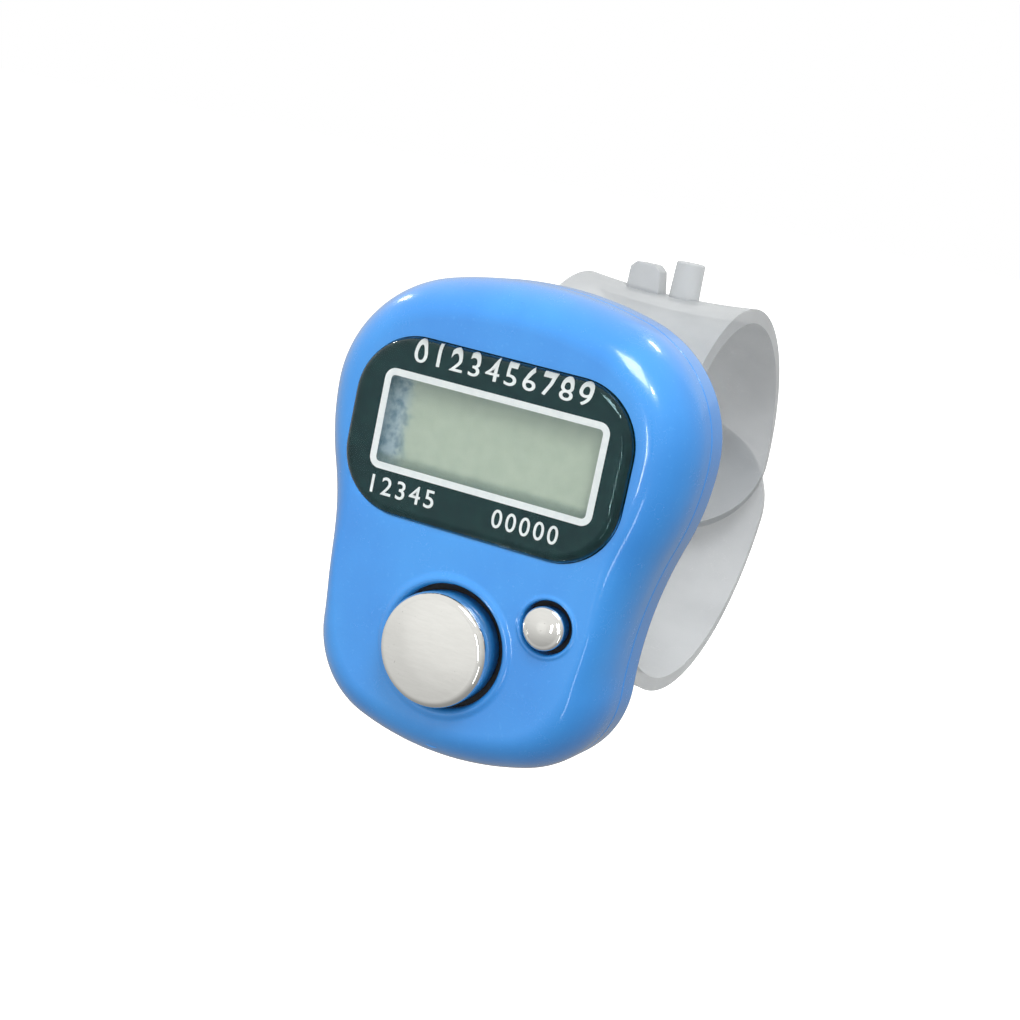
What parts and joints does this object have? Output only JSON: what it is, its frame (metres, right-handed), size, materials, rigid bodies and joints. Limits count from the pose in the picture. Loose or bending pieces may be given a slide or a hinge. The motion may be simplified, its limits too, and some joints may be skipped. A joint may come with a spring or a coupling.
{
  "type": "row counter",
  "caption": "Small digital row counter worn on a finger: pear-shaped case with a display window, a large count button, a small reset button and an open overlapping ring strap.",
  "frame": {"origin": "middle of the finger space, on the axis of the finger ring", "axes": "+X along the finger, across the case; -Y out of the display face; +Z towards the top of the display"},
  "size_m": [0.0342, 0.0586, 0.0457],
  "materials": {
    "case_blue": "high gloss moulded blue",
    "window_clear": "clear moulded window over a black border",
    "mask_black": "black printed film",
    "display_grey": "grey-green reflective display glass",
    "polariser": "thin grey-green film",
    "holder_black": "moulded black",
    "connector_rubber": "striped conductive rubber",
    "board_green": "lacquered circuit board",
    "carbon_black": "printed carbon",
    "resin_black": "cured black resin",
    "ceramic": "fired ceramic",
    "plated_chrome": "bright plated plastic",
    "dome_rubber": "translucent silicone rubber",
    "cell_steel": "nickel-plated steel",
    "contact_steel": "sheet spring steel",
    "screw_steel": "zinc-plated steel",
    "strap_frosted": "frosted translucent soft plastic"
  },
  "bodies": {
    "case": {"front_cover": "case_blue", "back_cover": "case_blue", "display_lens": "window_clear", "window_mask": "mask_black", "front_polariser": "polariser", "lcd_front_glass": "display_grey", "lcd_rear_glass": "display_grey", "rear_polariser": "polariser", "lcd_holder": "holder_black", "lcd_connector": "connector_rubber", "circuit_board": "board_green", "contact_pads": "carbon_black", "chip_blob": "resin_black", "bypass_capacitor": "ceramic", "oscillator_resistor": "resin_black", "count_dome": "dome_rubber", "reset_dome": "dome_rubber", "button_cell": "cell_steel", "positive_contact": "contact_steel", "negative_contact": "contact_steel", "case_screws": "screw_steel", "board_screws": "screw_steel", "strap_base": "strap_frosted"},
    "count_key": {"count_button": "plated_chrome", "count_pill": "carbon_black"},
    "reset_key": {"reset_button": "plated_chrome", "reset_pill": "carbon_black"},
    "upper_arm": {"strap_upper_arm": "strap_frosted"},
    "lower_arm": {"strap_lower_arm": "strap_frosted"}
  },
  "joints": [
    {"name": "count_press", "type": "slide", "parent": "case", "child": "count_key", "axis": [0, 1, 0], "range_m": [0, 0.0008], "stiffness_N_per_m": 900, "springref_m": -0.0012, "deforming": ["count_dome"]},
    {"name": "reset_press", "type": "slide", "parent": "case", "child": "reset_key", "axis": [0, 1, 0], "range_m": [0, 0.0005], "stiffness_N_per_m": 900, "springref_m": -0.0012, "deforming": ["reset_dome"]},
    {"name": "upper_arm_bend", "type": "hinge", "parent": "case", "child": "upper_arm", "pos_m": [0, -0.02138, 0.0006], "axis": [-1, 0, 0], "range_deg": [0, 8], "stiffness_Nm_per_rad": 0.05},
    {"name": "lower_arm_bend", "type": "hinge", "parent": "case", "child": "lower_arm", "pos_m": [0, -0.02138, -0.00805], "axis": [-1, 0, 0], "range_deg": [0, 28], "stiffness_Nm_per_rad": 0.05}
  ]
}
